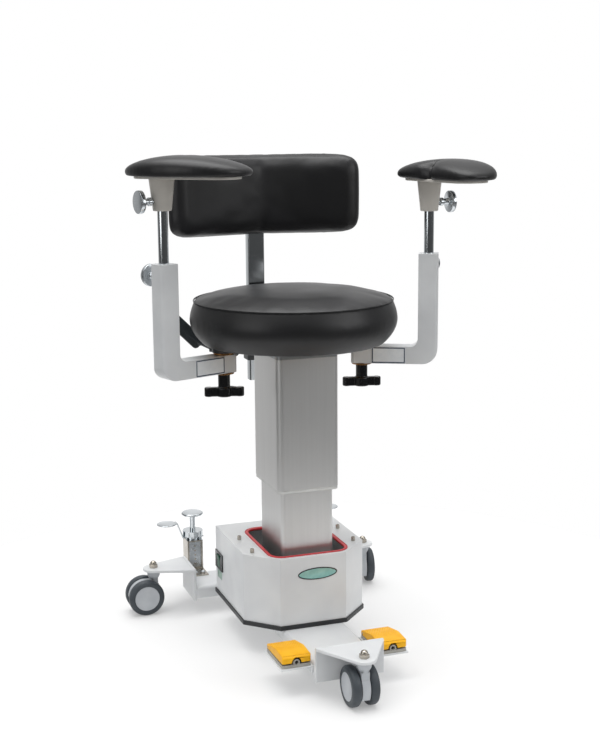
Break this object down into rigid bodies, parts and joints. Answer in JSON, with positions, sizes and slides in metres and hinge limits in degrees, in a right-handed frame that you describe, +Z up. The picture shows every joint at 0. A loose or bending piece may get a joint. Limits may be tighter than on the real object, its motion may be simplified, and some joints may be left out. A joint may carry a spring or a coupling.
{
  "type": "operating stool",
  "caption": "Wheeled surgeon's stool with a motor-lifted round seat, curved backrest, swinging padded armrests, foot switches and floor brakes.",
  "frame": {"origin": "on the floor under the middle of the stool's outline in plan", "axes": "+Z up; the stool faces -Y; +X is to the sitter's left, the viewer's right from the front"},
  "size_m": [0.6716, 0.7235, 0.959],
  "materials": {
    "white_paint": "satin white powder paint",
    "column_aluminium": "anodised, fine vertical grain",
    "head_aluminium": "as machined",
    "glide_plastic": "matte light grey",
    "chrome": "polished",
    "housing_steel": "satin",
    "socket_steel": "satin grey-beige",
    "dark_steel": "satin dark grey",
    "plywood": "plain birch plywood",
    "black_leather": "smooth black upholstery leather",
    "brass": "plain",
    "black_plastic": "glossy black",
    "rocker_green": "translucent green",
    "red_rubber": "matte red",
    "black_rubber": "matte black",
    "caster_grey": "light grey",
    "tyre_slate": "matte dark slate",
    "pedal_yellow": "stippled yellow",
    "pedal_grey": "matte warm grey"
  },
  "bodies": {
    "chassis": {"front_beam": "white_paint", "rear_crossbar": "white_paint", "end_plates": "white_paint", "caster_plates": "white_paint", "caster_bolts": "chrome", "base_tray": "white_paint", "base_cover": "white_paint", "edge_strip": "black_rubber", "opening_edging": "red_rubber", "cover_screws": "chrome", "inner_column": "column_aluminium", "lift_drive": "head_aluminium", "switch_bezel": "black_plastic", "pedal_plates": "white_paint", "pedal_bases": "pedal_grey", "brake_housings": "housing_steel"},
    "lift": {"outer_column": "column_aluminium", "column_lip": "glide_plastic", "column_head": "head_aluminium"},
    "seat": {"seat_frame": "dark_steel", "seat_board": "plywood", "seat_cushion": "black_leather", "pivot_washers": "brass", "back_clamp": "dark_steel"},
    "backrest": {"back_bar": "chrome", "back_plate": "dark_steel", "back_cushion": "black_leather"},
    "back_knob": {"back_knob": "black_plastic"},
    "seat_lever": {"seat_lever": "black_plastic"},
    "arm_left": {"arm_left": "white_paint"},
    "arm_knob_left": {"arm_knob_left": "black_plastic"},
    "rod_left": {"rod_left": "chrome"},
    "rod_knob_left": {"rod_knob_left": "chrome"},
    "pad_left": {"pad_socket_left": "socket_steel", "arm_pad_left": "black_leather"},
    "pad_knob_left": {"pad_knob_left": "chrome"},
    "arm_right": {"arm_right": "white_paint"},
    "arm_knob_right": {"arm_knob_right": "black_plastic"},
    "rod_right": {"rod_right": "chrome"},
    "rod_knob_right": {"rod_knob_right": "chrome"},
    "pad_right": {"pad_socket_right": "socket_steel", "arm_pad_right": "black_leather"},
    "pad_knob_right": {"pad_knob_right": "chrome"},
    "caster_front": {"fork_front": "caster_grey"},
    "wheels_front": {"hubs_front": "caster_grey", "tyres_front": "tyre_slate"},
    "caster_left": {"fork_left": "caster_grey"},
    "wheels_left": {"hubs_left": "caster_grey", "tyres_left": "tyre_slate"},
    "caster_right": {"fork_right": "caster_grey"},
    "wheels_right": {"hubs_right": "caster_grey", "tyres_right": "tyre_slate"},
    "pedal_left": {"pedal_left": "pedal_yellow"},
    "pedal_right": {"pedal_right": "pedal_yellow"},
    "brake_plunger_left": {"brake_plunger_left": "chrome"},
    "brake_release_left": {"brake_release_left": "chrome"},
    "brake_plunger_right": {"brake_plunger_right": "chrome"},
    "brake_release_right": {"brake_release_right": "chrome"},
    "power_rocker": {"power_rocker": "rocker_green"}
  },
  "joints": [
    {"name": "lift", "type": "slide", "parent": "chassis", "child": "lift", "axis": [0, 0, 1], "range_m": [-0.16, 0]},
    {"name": "seat_swivel", "type": "hinge", "parent": "lift", "child": "seat", "pos_m": [-0.00877, 0.02425, 0.59], "axis": [0, 0, 1], "continuous": true},
    {"name": "backrest_height", "type": "slide", "parent": "seat", "child": "backrest", "axis": [0, 0, 1], "range_m": [-0.06, 0.05]},
    {"name": "back_knob_turn", "type": "hinge", "parent": "seat", "child": "back_knob", "pos_m": [-0.00877, 0.27925, 0.56], "axis": [0, 1, 0], "range_deg": [-180, 180]},
    {"name": "seat_lever_lift", "type": "hinge", "parent": "seat", "child": "seat_lever", "pos_m": [-0.10877, 0.07925, 0.58], "axis": [0.4696, 0.8829, 0], "range_deg": [0, 3], "stiffness_Nm_per_rad": 1.5, "springref_deg": -11.46},
    {"name": "arm_left_swing", "type": "hinge", "parent": "seat", "child": "arm_left", "pos_m": [-0.15027, 0.02425, 0.552], "axis": [0, 0, 1], "range_deg": [-32, 35]},
    {"name": "arm_knob_left_turn", "type": "hinge", "parent": "seat", "child": "arm_knob_left", "pos_m": [-0.15027, 0.02425, 0.552], "axis": [0, 0, 1], "range_deg": [-90, 90]},
    {"name": "rod_left_height", "type": "slide", "parent": "arm_left", "child": "rod_left", "axis": [0, 0, 1], "range_m": [-0.09, 0.024]},
    {"name": "rod_knob_left_turn", "type": "hinge", "parent": "arm_left", "child": "rod_knob_left", "pos_m": [-0.27243, -0.02021, 0.744], "axis": [-0.342, 0.9397, 0], "range_deg": [-180, 180]},
    {"name": "pad_left_swivel", "type": "hinge", "parent": "rod_left", "child": "pad_left", "pos_m": [-0.27243, -0.02021, 0.864], "axis": [0, 0, 1], "range_deg": [-91, 44]},
    {"name": "pad_knob_left_turn", "type": "hinge", "parent": "pad_left", "child": "pad_knob_left", "pos_m": [-0.27243, -0.02021, 0.881], "axis": [-0.9781, -0.2079, 0], "range_deg": [-180, 180]},
    {"name": "arm_right_swing", "type": "hinge", "parent": "seat", "child": "arm_right", "pos_m": [0.13273, 0.02425, 0.552], "axis": [0, 0, 1], "range_deg": [-28, 39]},
    {"name": "arm_knob_right_turn", "type": "hinge", "parent": "seat", "child": "arm_knob_right", "pos_m": [0.13273, 0.02425, 0.552], "axis": [0, 0, 1], "range_deg": [-90, 90]},
    {"name": "rod_right_height", "type": "slide", "parent": "arm_right", "child": "rod_right", "axis": [0, 0, 1], "range_m": [-0.075, 0.039]},
    {"name": "rod_knob_right_turn", "type": "hinge", "parent": "arm_right", "child": "rod_knob_right", "pos_m": [0.24856, -0.03477, 0.744], "axis": [0.454, 0.891, 0], "range_deg": [-180, 180]},
    {"name": "pad_right_swivel", "type": "hinge", "parent": "rod_right", "child": "pad_right", "pos_m": [0.24856, -0.03477, 0.849], "axis": [0, 0, 1], "range_deg": [-100, 35]},
    {"name": "pad_knob_right_turn", "type": "hinge", "parent": "pad_right", "child": "pad_knob_right", "pos_m": [0.24856, -0.03477, 0.866], "axis": [1, 0, 0], "range_deg": [-180, 180]},
    {"name": "caster_front_swivel", "type": "hinge", "parent": "chassis", "child": "caster_front", "pos_m": [-0.00877, -0.33975, 0.0905], "axis": [0, 0, 1], "continuous": true},
    {"name": "wheels_front_roll", "type": "hinge", "parent": "caster_front", "child": "wheels_front", "pos_m": [-0.00877, -0.31975, 0.0375], "axis": [-1, 0, 0], "continuous": true},
    {"name": "caster_left_swivel", "type": "hinge", "parent": "chassis", "child": "caster_left", "pos_m": [-0.24677, 0.25725, 0.0905], "axis": [0, 0, 1], "continuous": true},
    {"name": "wheels_left_roll", "type": "hinge", "parent": "caster_left", "child": "wheels_left", "pos_m": [-0.26677, 0.25725, 0.0375], "axis": [0, -1, 0], "continuous": true},
    {"name": "caster_right_swivel", "type": "hinge", "parent": "chassis", "child": "caster_right", "pos_m": [0.22923, 0.25725, 0.0905], "axis": [0, 0, 1], "continuous": true},
    {"name": "wheels_right_roll", "type": "hinge", "parent": "caster_right", "child": "wheels_right", "pos_m": [0.2327, 0.27695, 0.0375], "axis": [-0.9848, 0.1736, 0], "continuous": true},
    {"name": "pedal_left_press", "type": "hinge", "parent": "chassis", "child": "pedal_left", "pos_m": [-0.10277, -0.16575, 0.066], "axis": [1, 0, 0], "range_deg": [0, 1.5], "stiffness_Nm_per_rad": 20, "springref_deg": -1.72},
    {"name": "pedal_right_press", "type": "hinge", "parent": "chassis", "child": "pedal_right", "pos_m": [0.08523, -0.16575, 0.066], "axis": [1, 0, 0], "range_deg": [0, 1.5], "stiffness_Nm_per_rad": 20, "springref_deg": -1.72},
    {"name": "brake_left_press", "type": "slide", "parent": "chassis", "child": "brake_plunger_left", "axis": [0, 0, 1], "range_m": [-0.015, 0]},
    {"name": "brake_left_release", "type": "hinge", "parent": "chassis", "child": "brake_release_left", "pos_m": [-0.12477, 0.33825, 0.1272], "axis": [0, -1, 0], "range_deg": [0, 5], "stiffness_Nm_per_rad": 4, "springref_deg": -1.72},
    {"name": "brake_right_press", "type": "slide", "parent": "chassis", "child": "brake_plunger_right", "axis": [0, 0, 1], "range_m": [-0.015, 0]},
    {"name": "brake_right_release", "type": "hinge", "parent": "chassis", "child": "brake_release_right", "pos_m": [0.10723, 0.33825, 0.1272], "axis": [0, 1, 0], "range_deg": [0, 5], "stiffness_Nm_per_rad": 4, "springref_deg": -1.72},
    {"name": "power_rocker_tilt", "type": "hinge", "parent": "chassis", "child": "power_rocker", "pos_m": [-0.13177, 0.14425, 0.134], "axis": [0, 1, 0], "range_deg": [0, 10]}
  ]
}
